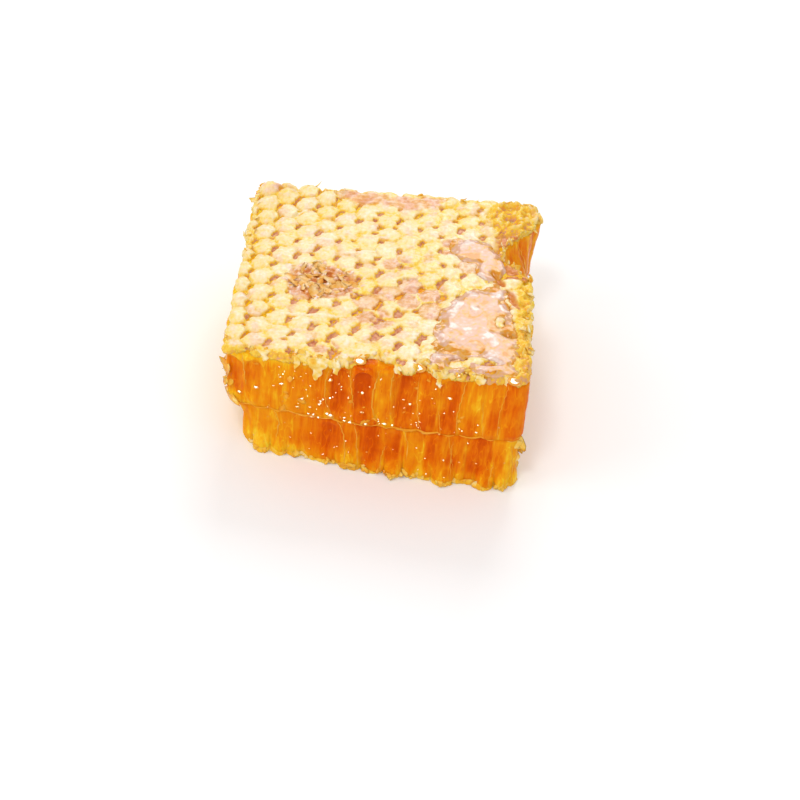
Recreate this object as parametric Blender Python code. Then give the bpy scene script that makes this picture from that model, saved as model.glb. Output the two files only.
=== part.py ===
"""A cut piece of capped honeycomb, in metres, +Z up, resting on its flat lower capping.

Two layers of honey-filled cells stand back to back on a thin wax midrib, and a wax capping
closes each layer. Every layer is one solid that runs through the whole piece."""

import math
import random

import bmesh
import bpy
from mathutils import Vector
from mathutils.geometry import delaunay_2d_cdt

# Driving sizes of the piece.
WIDTH = 0.0641  # left to right, between the bottoms of the cells' lobes
DEPTH = 0.0604  # front to back, in the middle
HEIGHT_LEFT = 0.0287  # the comb was thicker towards its right side
HEIGHT_RIGHT = 0.0318
CELL_PITCH = 0.0054  # one worker cell, across its flats
LATTICE_TURN = math.radians(5)  # the knife didn't follow the rows of cells
GAP = 0.0003  # clear of the next layer

# Layers, from the base up.
LOWER_CAPPING = 0.0012
MIDRIB = 0.0008
MIDRIB_SHARE = 0.43  # how far up the midrib lies
UPPER_CAPPING = 0.0024  # to the top of the domes

# Relief of the upper capping.
DOME_RISE = 0.0007
DOME_SHOULDER = 0.62  # radius of a dome's flat middle, as a share of the cell's
SEAM_DROP = 0.7  # depth of the seam between two domes, as a share of the rise
EDGE_MARGIN = 0.0009  # no cell points closer than this to the edge

# The cut and torn sides.
LOBE_RISE = 0.0007  # how far a cell bulges out of a side
LOBE_SPREAD = 0.0004  # how unevenly the cells were cut
SCALLOP_RISE = 0.0013  # the same bulge at the edge of the lower capping
CORNER_CUT = 0.0015
BACK_SKEW = -0.0010  # the back was cut a little further left than the front
FRONT_SLANT = 0.0019  # the front's right end stands that much further forward
FOOT_TURN = 0.0011  # and its foot turns further the same way, at both ends
FOOT_OUT = 0.0006  # the right side's foot stands out
LEFT_INSET = 0.0048  # the lower layer stands in at the left
FRONT_BULGE = 0.0022  # the foot of the front runs forward in the middle
BAY_DEPTH = 0.0068  # the torn bay in the upper right side
BAY_PLACE = 0.70  # its middle, from front to back
BAY_REACH = 0.17
BACK_LUG = 0.0011  # cells that stand out at the back right corner

# Bites torn out of the upper capping along the front: middle, half width, depth.
FRONT_BITES = ((0.0005, 0.0068, 0.0026), (0.0102, 0.0021, 0.0019), (-0.0272, 0.0048, 0.0011))

# Hollows in the upper capping: centre x, centre y, half length, half width, depth.
HOLLOWS = ((-0.0145, -0.0040, 0.0086, 0.0068, 0.0006), (-0.0020, 0.0280, 0.0128, 0.0048, 0.0008))

SIDES = ("front", "right", "back", "left")
LOBES = {"front": 13, "right": 11, "back": 13, "left": 11}
LOBE_STEPS = 4  # points along one lobe

WAX = (0.95, 0.80, 0.42, 1.0)
WAX_DARK = (0.90, 0.62, 0.20, 1.0)
HONEY_UPPER = (0.86, 0.36, 0.02, 1.0)
HONEY_LOWER = (0.89, 0.47, 0.03, 1.0)
WAX_BASE = (0.88, 0.58, 0.10, 1.0)


def smooth_step(low, high, value):
    share = min(max((value - low) / (high - low), 0.0), 1.0)
    return share * share * (3 - 2 * share)


def bump(distance):
    """1 in the middle, falling smoothly to 0 at a distance of 1."""
    return max(1 - distance * distance, 0.0) ** 2


def between(left, right, x):
    """A height that changes evenly from the left side to the right."""
    return left + (right - left) * (x / WIDTH + 0.5)


def corners(level):
    """The four corners at a level from 0, the base, to 1, the top, counter-clockwise."""
    left = -WIDTH / 2 + LEFT_INSET * (1 - smooth_step(0.28, 0.60, level))
    right = WIDTH / 2 + FOOT_OUT * (1 - level)
    slant = FRONT_SLANT / 2 + FOOT_TURN * (1 - level)
    return [
        Vector((left, -DEPTH / 2 + slant)),
        Vector((right, -DEPTH / 2 - slant)),
        Vector((right + BACK_SKEW, DEPTH / 2)),
        Vector((left + BACK_SKEW, DEPTH / 2)),
    ]


def side_offset(side, along, level):
    """How far a side stands out of its straight line; along runs 0 to 1."""
    if side == "front":
        return FRONT_BULGE * (1 - level) * (1 - (2 * along - 1) ** 2)
    if side == "right":
        bay = BAY_DEPTH * bump((along - BAY_PLACE) / BAY_REACH)
        lug = BACK_LUG * smooth_step(0.84, 0.92, along)
        return (lug - bay) * smooth_step(0.55, 0.95, level)
    return 0.0


def front_bite(x):
    return sum(depth * bump((x - place) / reach) for place, reach, depth in FRONT_BITES)


def outline(level, lobe_rise, lobe_seed, bitten=False):
    """The closed outline of a layer at one level, as flat points counter-clockwise."""
    uneven = random.Random(lobe_seed)
    posts = corners(level)
    points = []
    for index, side in enumerate(SIDES):
        start = posts[index]
        end = posts[(index + 1) % len(posts)]
        direction = (end - start).normalized()
        outward = Vector((direction.y, -direction.x))
        start = start + direction * CORNER_CUT
        end = end - direction * CORNER_CUT
        for lobe in range(LOBES[side]):
            spread = uneven.uniform(-LOBE_SPREAD, LOBE_SPREAD)
            for step in range(LOBE_STEPS):
                along = (lobe + step / LOBE_STEPS) / LOBES[side]
                swell = math.sin(math.pi * step / LOBE_STEPS) ** 0.6
                point = start.lerp(end, along)
                offset = side_offset(side, along, level) + (lobe_rise + spread) * swell
                if bitten and side == "front":
                    offset -= front_bite(point.x)
                points.append(point + outward * offset)
        points.append(end + outward * side_offset(side, 1.0, level))
    return points


def lofted(name, rings, material):
    """A solid through rings of (flat outline, height on the left, height on the right)."""
    shape = bmesh.new()
    rows = []
    for points, left, right in rings:
        rows.append([shape.verts.new((p.x, p.y, between(left, right, p.x))) for p in points])
    count = len(rows[0])
    for lower, upper in zip(rows, rows[1:]):
        for i in range(count):
            j = (i + 1) % count
            shape.faces.new((lower[i], lower[j], upper[j], upper[i]))
    shape.faces.new(list(reversed(rows[0])))
    shape.faces.new(rows[-1])
    return finished(name, shape, material)


def finished(name, shape, material):
    bmesh.ops.recalc_face_normals(shape, faces=shape.faces)
    mesh = bpy.data.meshes.new(name)
    shape.to_mesh(mesh)
    shape.free()
    mesh.shade_smooth()
    mesh.set_sharp_from_angle(angle=math.radians(38))
    mesh.materials.append(material)
    node = bpy.data.objects.new(name, mesh)
    bpy.context.scene.collection.objects.link(node)
    return node


def inside(point, polygon):
    crossings = 0
    for a, b in zip(polygon, polygon[1:] + polygon[:1]):
        if (a.y > point.y) != (b.y > point.y):
            if point.x < a.x + (b.x - a.x) * (point.y - a.y) / (b.y - a.y):
                crossings += 1
    return crossings % 2 == 1


def clear_of_edge(point, polygon):
    if not inside(point, polygon):
        return False
    return all((point - p).length > EDGE_MARGIN for p in polygon)


def cell_centres(reach):
    """Centres of the comb's cells out to a reach from the middle."""
    column_step = CELL_PITCH * math.sqrt(3) / 2
    count = int(reach / column_step) + 1
    turn_cos = math.cos(LATTICE_TURN)
    turn_sin = math.sin(LATTICE_TURN)
    for column in range(-count, count + 1):
        for row in range(-count, count + 1):
            x = column * column_step
            y = (row + 0.5 * (column % 2)) * CELL_PITCH
            yield Vector((x * turn_cos - y * turn_sin, x * turn_sin + y * turn_cos))


def ring_of_six(centre, radius, first=0.0):
    """Six points round a cell; at a first angle of 0 they point at its corners."""
    for k in range(6):
        angle = math.radians(60 * k + first) + LATTICE_TURN
        yield centre + radius * Vector((math.cos(angle), math.sin(angle)))


def hollow(point):
    total = 0.0
    for x, y, half_length, half_width, depth in HOLLOWS:
        distance = math.hypot((point.x - x) / half_length, (point.y - y) / half_width)
        total += depth * bump(distance)
    return total


def domed_capping(name, edge, material):
    """The upper capping: a sheet with one low dome over each cell."""
    corner_radius = CELL_PITCH / math.sqrt(3)
    flat = list(edge)
    drops = [DOME_RISE] * len(edge)
    taken = set()
    for centre in cell_centres(WIDTH):
        places = [(centre, 0.0)]
        places += [(p, 0.15 * DOME_RISE) for p in ring_of_six(centre, DOME_SHOULDER * corner_radius)]
        places += [(p, DOME_RISE) for p in ring_of_six(centre, corner_radius)]
        places += [(p, SEAM_DROP * DOME_RISE) for p in ring_of_six(centre, CELL_PITCH / 2, 30.0)]
        for point, drop in places:
            key = (round(point.x, 5), round(point.y, 5))
            if key not in taken and clear_of_edge(point, edge):
                taken.add(key)
                flat.append(point)
                drops.append(drop)
    rim = [(i, (i + 1) % len(edge)) for i in range(len(edge))]
    found, _, faces, source, _, _ = delaunay_2d_cdt(flat, rim, [], 1, 1e-7)
    shape = bmesh.new()
    top = []
    for point, origins in zip(found, source):
        top_height = between(HEIGHT_LEFT, HEIGHT_RIGHT, point.x)
        top.append(shape.verts.new((point.x, point.y, top_height - drops[origins[0]] - hollow(point))))
    for face in faces:
        shape.faces.new([top[i] for i in face])
    bottom = [
        shape.verts.new((p.x, p.y, between(HEIGHT_LEFT, HEIGHT_RIGHT, p.x) - UPPER_CAPPING)) for p in edge
    ]
    for i, j in rim:
        shape.faces.new((bottom[i], bottom[j], top[j], top[i]))
    shape.faces.new(list(reversed(bottom)))
    return finished(name, shape, material)


def material(name, colour, roughness, subsurface):
    made = bpy.data.materials.new(name)
    made.use_nodes = True
    shader = made.node_tree.nodes["Principled BSDF"]
    shader.inputs["Base Color"].default_value = colour
    shader.inputs["Roughness"].default_value = roughness
    shader.inputs["Metallic"].default_value = 0.0
    shader.inputs["Subsurface Weight"].default_value = subsurface
    shader.inputs["Subsurface Scale"].default_value = 0.004
    made.diffuse_color = colour
    return made


def comb_layer(name, bottom, top, levels, seed, finish):
    """A layer of cells between two (left, right) heights, cut and torn at its sides."""
    rings = []
    for k, level in enumerate(levels):
        share = k / (len(levels) - 1)
        left = bottom[0] + (top[0] - bottom[0]) * share
        right = bottom[1] + (top[1] - bottom[1]) * share
        rings.append((outline(level, LOBE_RISE, seed), left, right))
    return lofted(name, rings, finish)


def centre_over_origin(nodes):
    """Moves the whole piece so that the middle of its base is the origin."""
    xs = [v.co.x for node in nodes for v in node.data.vertices]
    ys = [v.co.y for node in nodes for v in node.data.vertices]
    shift = Vector((-(min(xs) + max(xs)) / 2, -(min(ys) + max(ys)) / 2, 0.0))
    for node in nodes:
        for vertex in node.data.vertices:
            vertex.co += shift


def build():
    for old in list(bpy.data.objects):
        bpy.data.objects.remove(old, do_unlink=True)

    wax = material("wax_capping", WAX, 0.45, 0.5)
    base_wax = material("wax_lower_capping", WAX_BASE, 0.40, 0.6)
    rib_wax = material("wax_midrib", WAX_DARK, 0.45, 0.5)
    upper_honey = material("honey_upper_cells", HONEY_UPPER, 0.12, 1.0)
    lower_honey = material("honey_lower_cells", HONEY_LOWER, 0.12, 1.0)

    rib_low = (HEIGHT_LEFT * MIDRIB_SHARE - MIDRIB / 2, HEIGHT_RIGHT * MIDRIB_SHARE - MIDRIB / 2)
    rib_high = (rib_low[0] + MIDRIB, rib_low[1] + MIDRIB)
    cap_low = (HEIGHT_LEFT - UPPER_CAPPING, HEIGHT_RIGHT - UPPER_CAPPING)
    base_top = LOWER_CAPPING + GAP

    scallops = outline(0.0, SCALLOP_RISE, 3)
    scallops_top = outline(0.0, LOBE_RISE, 3)
    rib_edge = outline(MIDRIB_SHARE, LOBE_RISE * 0.7, 11)
    cap_edge = outline(1.0, LOBE_RISE, 23, bitten=True)

    nodes = [
        lofted("capping_bottom", [(scallops, 0, 0), (scallops_top, LOWER_CAPPING, LOWER_CAPPING)], base_wax),
        comb_layer(
            "comb_lower",
            (base_top, base_top),
            (rib_low[0] - GAP, rib_low[1] - GAP),
            (0.05, 0.20, 0.40),
            3,
            lower_honey,
        ),
        lofted("midrib", [(rib_edge, *rib_low), (rib_edge, *rib_high)], rib_wax),
        comb_layer(
            "comb_upper",
            (rib_high[0] + GAP, rib_high[1] + GAP),
            (cap_low[0] - GAP, cap_low[1] - GAP),
            (0.46, 0.68, 0.93),
            17,
            upper_honey,
        ),
        domed_capping("capping_top", cap_edge, wax),
    ]
    centre_over_origin(nodes)


build()
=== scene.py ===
import math
import random
import bpy
import numpy as np
from mathutils import Matrix, Vector, noise


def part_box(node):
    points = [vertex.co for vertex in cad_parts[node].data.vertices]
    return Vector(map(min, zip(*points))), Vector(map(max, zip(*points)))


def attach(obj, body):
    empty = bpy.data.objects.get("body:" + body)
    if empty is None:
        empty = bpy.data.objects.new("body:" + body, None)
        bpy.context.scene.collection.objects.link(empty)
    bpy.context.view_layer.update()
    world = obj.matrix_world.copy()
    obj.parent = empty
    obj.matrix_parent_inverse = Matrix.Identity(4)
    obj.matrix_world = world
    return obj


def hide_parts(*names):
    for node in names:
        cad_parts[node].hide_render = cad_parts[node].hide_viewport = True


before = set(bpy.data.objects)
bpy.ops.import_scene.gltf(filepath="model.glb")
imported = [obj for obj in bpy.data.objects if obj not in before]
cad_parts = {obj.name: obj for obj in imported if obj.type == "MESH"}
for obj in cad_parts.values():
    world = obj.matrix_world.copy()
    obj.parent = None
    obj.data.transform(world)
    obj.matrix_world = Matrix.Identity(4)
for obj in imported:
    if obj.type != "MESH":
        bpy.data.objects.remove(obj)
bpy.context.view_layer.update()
mm = 0.001
print("frame loaded:", sorted(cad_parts))


# the cut lines and heights of the piece, taken from the frame
upperLow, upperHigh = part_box("comb_upper")
capLow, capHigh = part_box("capping_top")
print("upper cells from", round(upperLow.z / mm, 1), "to", round(upperHigh.z / mm, 1), "mm")

piece = {
    "left": capLow.x + 1.62 * mm,  # the cut lines, inside the cells' lobes
    "right": capHigh.x - 0.97 * mm,
    "front": capLow.y + 1.36 * mm,  # in the middle of the front
    "back": capHigh.y - 1.08 * mm,
    "top": capHigh.z,
    "lean": 3.1 * mm,  # the left side is that much lower
    "midribShare": 0.43,
    "cornerRadius": 1.8 * mm,
    "backSkew": -1.0 * mm,
    "frontSlant": 1.9 * mm,  # the front's right end stands that much further forward
    "footTurn": 1.1 * mm,
    "footOut": 0.6 * mm,
    "leftInset": 4.8 * mm,  # the lower layer stands in at the left
    "frontBulge": 2.4 * mm,  # the foot of the front runs forward
    "bayDepth": 6.8 * mm,  # torn bay in the upper right side
    "bayPlace": 0.70,
    "bayReach": 0.17,
    "backLug": 1.1 * mm,
}
comb = {"pitch": 5.4 * mm, "turn": math.radians(5), "upper": (0.0, 0.0), "lower": (3.1 * mm, 0.4 * mm)}


def smooth(low, high, value):
    share = np.clip((value - low) / (high - low), 0.0, 1.0)
    return share * share * (3 - 2 * share)


def bump(distance):
    return np.clip(1 - distance * distance, 0.0, 1.0) ** 2


def arc(across):
    # rises from 0 at both sides of a strip to 1 in its middle
    return np.clip(1 - (2 * across - 1) ** 2, 0, 1)


def topAt(x):
    # height of the dome tops over a place
    share = (x - piece["left"]) / (piece["right"] - piece["left"])
    return piece["top"] - piece["lean"] * (1 - share)


def cellAt(x, y, shift):
    # the comb cell over each place: column, row, place inside it, distance to its wall
    size = comb["pitch"] / math.sqrt(3)
    turnCos, turnSin = math.cos(comb["turn"]), math.sin(comb["turn"])
    acrossX, acrossY = x - shift[0], y - shift[1]
    u = acrossX * turnCos + acrossY * turnSin
    v = acrossY * turnCos - acrossX * turnSin
    q = u * 2 / 3 / size
    r = (v * math.sqrt(3) - u) / 3 / size
    t = -q - r
    column, row, third = np.round(q), np.round(r), np.round(t)
    offQ, offR, offT = abs(column - q), abs(row - r), abs(third - t)
    fixColumn = (offQ > offR) & (offQ > offT)
    fixRow = ~fixColumn & (offR > offT)
    column = np.where(fixColumn, -row - third, column)
    row = np.where(fixRow, -column - third, row)
    localU = u - size * 1.5 * column
    localV = v - size * math.sqrt(3) * (row + column / 2)
    slant = localU * math.sqrt(0.75)
    reach = np.maximum(abs(localV), np.maximum(abs(slant + localV / 2), abs(slant - localV / 2)))
    return column, row, localU, localV, comb["pitch"] / 2 - reach


def junctionAt(column, row, localU, localV):
    # the corner where three cells meet: distance to the nearest one, and its own random number
    size = comb["pitch"] / math.sqrt(3)
    turn = np.round(np.arctan2(localV, localU) / (math.pi / 3))
    cornerU, cornerV = size * np.cos(turn * math.pi / 3), size * np.sin(turn * math.pi / 3)
    numberU = np.round((1.5 * size * column + cornerU) / (size / 2))
    numberV = np.round((size * math.sqrt(3) * (row + column / 2) + cornerV) / (size * math.sqrt(3) / 2))
    return np.hypot(localU - cornerU, localV - cornerV), cellChance(numberU, numberV, 5)


def cellChance(column, row, seed):
    # an even random number from 0 to 1 for each cell
    value = np.sin(column * 127.1 + row * 311.7 + seed * 74.7) * 43758.5453
    return value - np.floor(value)


def ripple(points, scale, seed):
    # soft noise from about -1 to 1 at points, with bumps of the given size
    offset = Vector((seed * 7.31, seed * 3.17, seed * 1.73))
    return np.array([noise.noise(Vector(p) / scale + offset) for p in points])


def deselectAll():
    if bpy.context.mode != "OBJECT":
        bpy.ops.object.mode_set(mode="OBJECT")
    bpy.ops.object.select_all(action="DESELECT")


def makeActive(obj):
    deselectAll()
    obj.select_set(True)
    bpy.context.view_layer.objects.active = obj


def pointsOf(obj):
    places = np.empty(len(obj.data.vertices) * 3)
    obj.data.vertices.foreach_get("co", places)
    return places.reshape(-1, 3)


def movePoints(obj, places):
    obj.data.vertices.foreach_set("co", np.ascontiguousarray(places, dtype=np.float64).ravel())
    obj.data.update()


def paint(obj, name, values):
    # a value for each point, which the material reads
    layer = obj.data.attributes.new(name, "FLOAT", "POINT")
    layer.data.foreach_set("value", np.ascontiguousarray(values, dtype=np.float32))


def applyModifier(obj, kind, **settings):
    makeActive(obj)
    added = obj.modifiers.new(kind.title(), kind)
    for name, value in settings.items():
        setattr(added, name, value)
    bpy.ops.object.modifier_apply(modifier=added.name)


def copyOf(source, name):
    twin = source.copy()
    twin.data = source.data.copy()
    twin.name = name
    bpy.context.collection.objects.link(twin)
    return twin


def faceOutwards():
    # for the object in edit mode, which it leaves
    bpy.ops.mesh.select_all(action="SELECT")
    bpy.ops.mesh.normals_make_consistent(inside=False)
    bpy.ops.object.mode_set(mode="OBJECT")


def joinInto(name, pieces):
    deselectAll()
    for obj in pieces:
        obj.select_set(True)
    bpy.context.view_layer.objects.active = pieces[0]
    bpy.ops.object.join()
    whole = bpy.context.object
    whole.name = name
    whole.data.name = name
    return whole


ringCount = 860  # points along the outline


def roundedOutline():
    # evenly spaced points of the cut lines, counter-clockwise from the front left corner
    r = piece["cornerRadius"]
    x0, x1, y0, y1 = piece["left"], piece["right"], piece["front"], piece["back"]
    corners = ((x1 - r, y0 + r, -90), (x1 - r, y1 - r, 0), (x0 + r, y1 - r, 90), (x0 + r, y0 + r, 180))
    fine = []
    for cx, cy, first in corners:
        for k in range(13):
            angle = math.radians(first + 90 * k / 12)
            fine.append((cx + r * math.cos(angle), cy + r * math.sin(angle)))
    fine.insert(0, (x0 + r, y0))
    fine = np.array(fine + [fine[0]])
    along = np.concatenate([[0], np.cumsum(np.hypot(*np.diff(fine, axis=0).T))])
    wanted = np.linspace(0, along[-1], ringCount, endpoint=False)
    places = np.stack([np.interp(wanted, along, fine[:, k]) for k in (0, 1)], axis=1)
    ahead = np.roll(places, -2, axis=0) - np.roll(places, 2, axis=0)
    ahead /= np.hypot(*ahead.T)[:, None]
    return places, np.stack([ahead[:, 1], -ahead[:, 0]], axis=1), along[-1]


outline, outward, outlineLength = roundedOutline()
facing = {
    "front": smooth(0.5, 0.9, -outward[:, 1]),
    "back": smooth(0.5, 0.9, outward[:, 1]),
    "left": smooth(0.5, 0.9, -outward[:, 0]),
    "right": smooth(0.5, 0.9, outward[:, 0]),
}
alongX = (outline[:, 0] - piece["left"]) / (piece["right"] - piece["left"])
alongY = (outline[:, 1] - piece["front"]) / (piece["back"] - piece["front"])


def outlineAt(level):
    # the cut lines at a level from 0, the base, to 1, the top
    places = outline.copy()
    places[:, 0] += piece["leftInset"] * (1 - smooth(0.28, 0.60, level)) * (1 - alongX)
    places[:, 0] += piece["backSkew"] * alongY + piece["footOut"] * (1 - level) * alongX
    slant = piece["frontSlant"] / 2 + piece["footTurn"] * (1 - level)
    places[:, 1] += slant * (1 - 2 * alongX) * (1 - alongY)
    places[:, 1] -= piece["frontBulge"] * (1 - level) * (1 - (2 * alongX - 1) ** 2) * facing["front"]
    bay = piece["bayDepth"] * bump((alongY - piece["bayPlace"]) / piece["bayReach"])
    lug = piece["backLug"] * smooth(0.84, 0.92, alongY)
    places[:, 0] += (lug - bay) * smooth(0.55, 0.95, level) * facing["right"]
    return places


def stripsOf(shift, level):
    # where the cut crosses the comb's walls: strip number and place across it, for each outline point
    inner = outlineAt(level) - 0.5 * mm * outward
    column, row, _, _, wall = cellAt(inner[:, 0], inner[:, 1], shift)
    same = (column == np.roll(column, 1)) & (row == np.roll(row, 1))
    starts = [int(i) for i in np.flatnonzero(~same)]
    strip = np.zeros(ringCount, int)
    across = np.zeros(ringCount)
    facts = []
    for k, start in enumerate(starts):
        end = starts[(k + 1) % len(starts)]
        span = (end - start) % ringCount
        members = (start + np.arange(span)) % ringCount
        strip[members] = k
        across[members] = (np.arange(span) + 0.5) / span
        facts.append(
            {
                "start": start,
                "length": span * outlineLength / ringCount,
                "depth": float(wall[members].mean()),
            }
        )
    return strip, across, facts


def linearColour(hexText):
    channels = [int(hexText[k : k + 2], 16) / 255 for k in (1, 3, 5)]
    return [c / 12.92 if c <= 0.04045 else ((c + 0.055) / 1.055) ** 2.4 for c in channels] + [1.0]


def newMaterial(name):
    made = bpy.data.materials.new(name)
    made.use_nodes = True
    return made, made.node_tree, made.node_tree.nodes["Principled BSDF"]


def addNode(tree, kind, settings=None, links=None):
    # one node; settings are its fields, or its inputs by name or number; links feed its inputs
    made = tree.nodes.new("ShaderNode" + kind)
    for key, value in (settings or {}).items():
        if isinstance(key, str) and hasattr(made, key):
            setattr(made, key, value)
        else:
            made.inputs[key].default_value = value
    for key, source in (links or {}).items():
        tree.links.new(source, made.inputs[key])
    return made


def setShader(shader, settings):
    for name, value in settings.items():
        shader.inputs[name].default_value = value


def paintedValue(tree, name):
    return addNode(tree, "Attribute", {"attribute_name": name}).outputs["Fac"]


def sumOf(tree, first, second):
    return addNode(tree, "Math", {"operation": "ADD"}, {0: first, 1: second}).outputs[0]


def rangeOf(tree, source, fromLow, fromHigh, toLow, toHigh):
    ends = {"From Min": fromLow, "From Max": fromHigh, "To Min": toLow, "To Max": toHigh}
    return addNode(tree, "MapRange", ends, {"Value": source}).outputs[0]


def noiseOf(tree, vector, size, detail, roughness=0.5):
    settings = {"Scale": 1 / size, "Detail": detail, "Roughness": roughness}
    return addNode(tree, "TexNoise", settings, {"Vector": vector}).outputs[0]


def spreadNoise(tree, vector, size, spread, detail=3.0):
    # soft noise with blotches of the given size, from minus to plus the spread
    return rangeOf(tree, noiseOf(tree, vector, size, detail, 0.6), 0.3, 0.7, -spread, spread)


def drawnOut(tree, vector, upright):
    # the pattern's places, so that it is drawn out along the upright cells
    return addNode(tree, "Mapping", {"Scale": (1.0, 1.0, upright)}, {"Vector": vector}).outputs[0]


def rampOf(tree, source, stops):
    ramp = addNode(tree, "ValToRGB", {}, {"Fac": source})
    points = ramp.color_ramp.elements
    while len(points) < len(stops):
        points.new(0.5)
    for point, (place, colour) in zip(points, stops):
        point.position = place
        point.color = linearColour(colour)
    return ramp.outputs["Color"]


def addRelief(tree, shader, height, strength, depth):
    relief = addNode(tree, "Bump", {"Strength": strength, "Distance": depth}, {"Height": height})
    tree.links.new(relief.outputs[0], shader.inputs["Normal"])


def honeyMaterial(name, tones, gloss):
    # clear amber honey behind cut wax cells, wet on the outside; thin places go golden
    made, tree, shader = newMaterial(name)
    place = addNode(tree, "TexCoord").outputs["Object"]
    streaks = drawnOut(tree, place, 0.13)
    streaked = sumOf(tree, paintedValue(tree, "tone"), spreadNoise(tree, streaks, 0.8 * mm, 0.14))
    clouded = sumOf(tree, streaked, spreadNoise(tree, place, 2.6 * mm, 0.08, 2.0))
    # fine threads of wax, seen through the honey
    swirl = noiseOf(tree, drawnOut(tree, place, 0.24), 2.4 * mm, 2.0)
    offThread = addNode(tree, "Math", {"operation": "SUBTRACT", 1: 0.5}, {0: swirl})
    nearThread = addNode(tree, "Math", {"operation": "ABSOLUTE"}, {0: offThread.outputs[0]})
    threads = rangeOf(tree, nearThread.outputs[0], 0.0, 0.016, -0.20, 0.0)
    colour = rampOf(tree, sumOf(tree, clouded, threads), tones)
    tree.links.new(colour, shader.inputs["Base Color"])
    addRelief(tree, shader, noiseOf(tree, streaks, 0.8 * mm, 2.0), 0.7, 0.14 * mm)
    setShader(
        shader,
        {
            "Subsurface Weight": 0.35,
            "Subsurface Radius": (1.0, 0.4, 0.08),
            "Subsurface Scale": 1.5 * mm,
            "Roughness": 0.10,
            "IOR": 1.49,
            "Specular IOR Level": gloss,
        },
    )
    return made


def waxMaterial(name, clean, stained, gloss=0.4, scatter=0.25):
    # new beeswax, satin where dry and glossy where honey wets it; crown runs from pits to dome tops
    made, tree, shader = newMaterial(name)
    place = addNode(tree, "TexCoord").outputs["Object"]
    total = sumOf(tree, paintedValue(tree, "crown"), spreadNoise(tree, place, 0.7 * mm, 0.13, 4.0))
    colours = {6: rampOf(tree, total, clean), 7: rampOf(tree, total, stained)}
    mixed = addNode(tree, "Mix", {"data_type": "RGBA"}, {0: paintedValue(tree, "stain"), **colours})
    tree.links.new(mixed.outputs[2], shader.inputs["Base Color"])
    satin = rangeOf(tree, paintedValue(tree, "wet"), 0.0, 1.0, 0.42, 0.12)
    tree.links.new(satin, shader.inputs["Roughness"])
    addRelief(tree, shader, noiseOf(tree, place, 0.4 * mm, 3.0, 0.6), 0.6, 0.1 * mm)
    setShader(
        shader,
        {
            "Subsurface Weight": scatter,
            "Subsurface Radius": (1.0, 0.6, 0.25),
            "Subsurface Scale": 0.7 * mm,
            "IOR": 1.44,
            "Specular IOR Level": gloss,
        },
    )
    return made


def honeyDropMaterial(name, tones, coat, shine):
    # honey lying on the outside: runny, very glossy, warm underneath
    made, tree, shader = newMaterial(name)
    place = addNode(tree, "TexCoord").outputs["Object"]
    total = sumOf(tree, paintedValue(tree, "tone"), spreadNoise(tree, place, 2.2 * mm, 0.3))
    tree.links.new(rampOf(tree, total, tones), shader.inputs["Base Color"])
    setShader(
        shader,
        {
            "Roughness": 0.08,
            "IOR": 1.49,
            "Specular IOR Level": shine,
            "Coat Weight": coat,
            "Coat IOR": 1.55,
            "Coat Roughness": 0.03,
            "Subsurface Weight": 0.2,
            "Subsurface Radius": (1.0, 0.5, 0.15),
            "Subsurface Scale": 0.8 * mm,
        },
    )
    return made


# colours from thin honey or a pit, at 0, to deep honey or the top of a dome, at 1
honeyTones = (
    (0.0, "#F7D03A"),
    (0.2, "#F4B41C"),
    (0.4, "#EE950E"),
    (0.6, "#E87E08"),
    (0.8, "#E06504"),
    (1.0, "#CF4E02"),
)
cleanWax = (
    (0.0, "#CC7A50"),
    (0.15, "#DCA07A"),
    (0.30, "#F0B428"),
    (0.46, "#F6CF48"),
    (0.66, "#F7DA94"),
    (0.82, "#F9E0AE"),
    (1.0, "#FCEACC"),
)
# stained tan wax, from orange-brown up to a pale pinkish white; that top end is a painted sheen on the dome
# tops
tanWaxAndSheen = ((0.0, "#C86A10"), (0.22, "#D98A3C"), (0.5, "#E2AA84"), (0.78, "#EFC8B0"), (1.0, "#FAE4D2"))
# honey film colours: tan and golden honey, rising to a pale pinkish white that is a painted reflection of
# the back softbox
filmTonesWithSheen = ((0.0, "#DA8E22"), (0.22, "#DCA650"), (0.42, "#D8A47C"), (0.7, "#DCAE94"), (1.0, "#F0D8CC"))
honeyUpper = honeyMaterial("amber_honey_in_cut_cells", honeyTones, 0.04)
honeyLower = honeyMaterial("golden_honey_in_cut_cells", honeyTones, 0.04)
cappingWaxLook = waxMaterial("new_beeswax_capping", cleanWax, tanWaxAndSheen)
crumbWaxLook = waxMaterial(
    "torn_beeswax_crumbs",
    ((0.0, "#E8921A"), (0.3, "#F3B42C"), (0.55, "#F7CC58"), (0.8, "#FADF9C"), (1.0, "#FDEEC8")),
    ((0.0, "#CC6C14"), (0.3, "#E09848"), (0.6, "#F0C49C"), (1.0, "#FCE8D4")),
    scatter=0.0,
)
ribWaxLook = waxMaterial(
    "honey_soaked_beeswax_wall",
    ((0.0, "#EE981A"), (0.5, "#F4AE30"), (1.0, "#FACB62")),
    ((0.0, "#F0A020"), (1.0, "#FCDF96")),
    gloss=0.3,
    scatter=0.0,
)
baseWaxLook = waxMaterial(
    "yellow_beeswax_lower_capping",
    ((0.0, "#E99A08"), (0.4, "#F3B41A"), (0.72, "#F8D050"), (1.0, "#FBE9A8")),
    ((0.0, "#E99A08"), (1.0, "#F8D050")),
    gloss=0.3,
    scatter=0.15,
)
filmHoney = honeyDropMaterial("runny_honey_over_wax_painted_sheen", filmTonesWithSheen, 0.12, 0.30)
dropHoney = honeyDropMaterial("clear_honey_drops", ((0.0, "#E8920E"), (1.0, "#F2AE2C")), 1.0, 0.5)
print("materials made")


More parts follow.
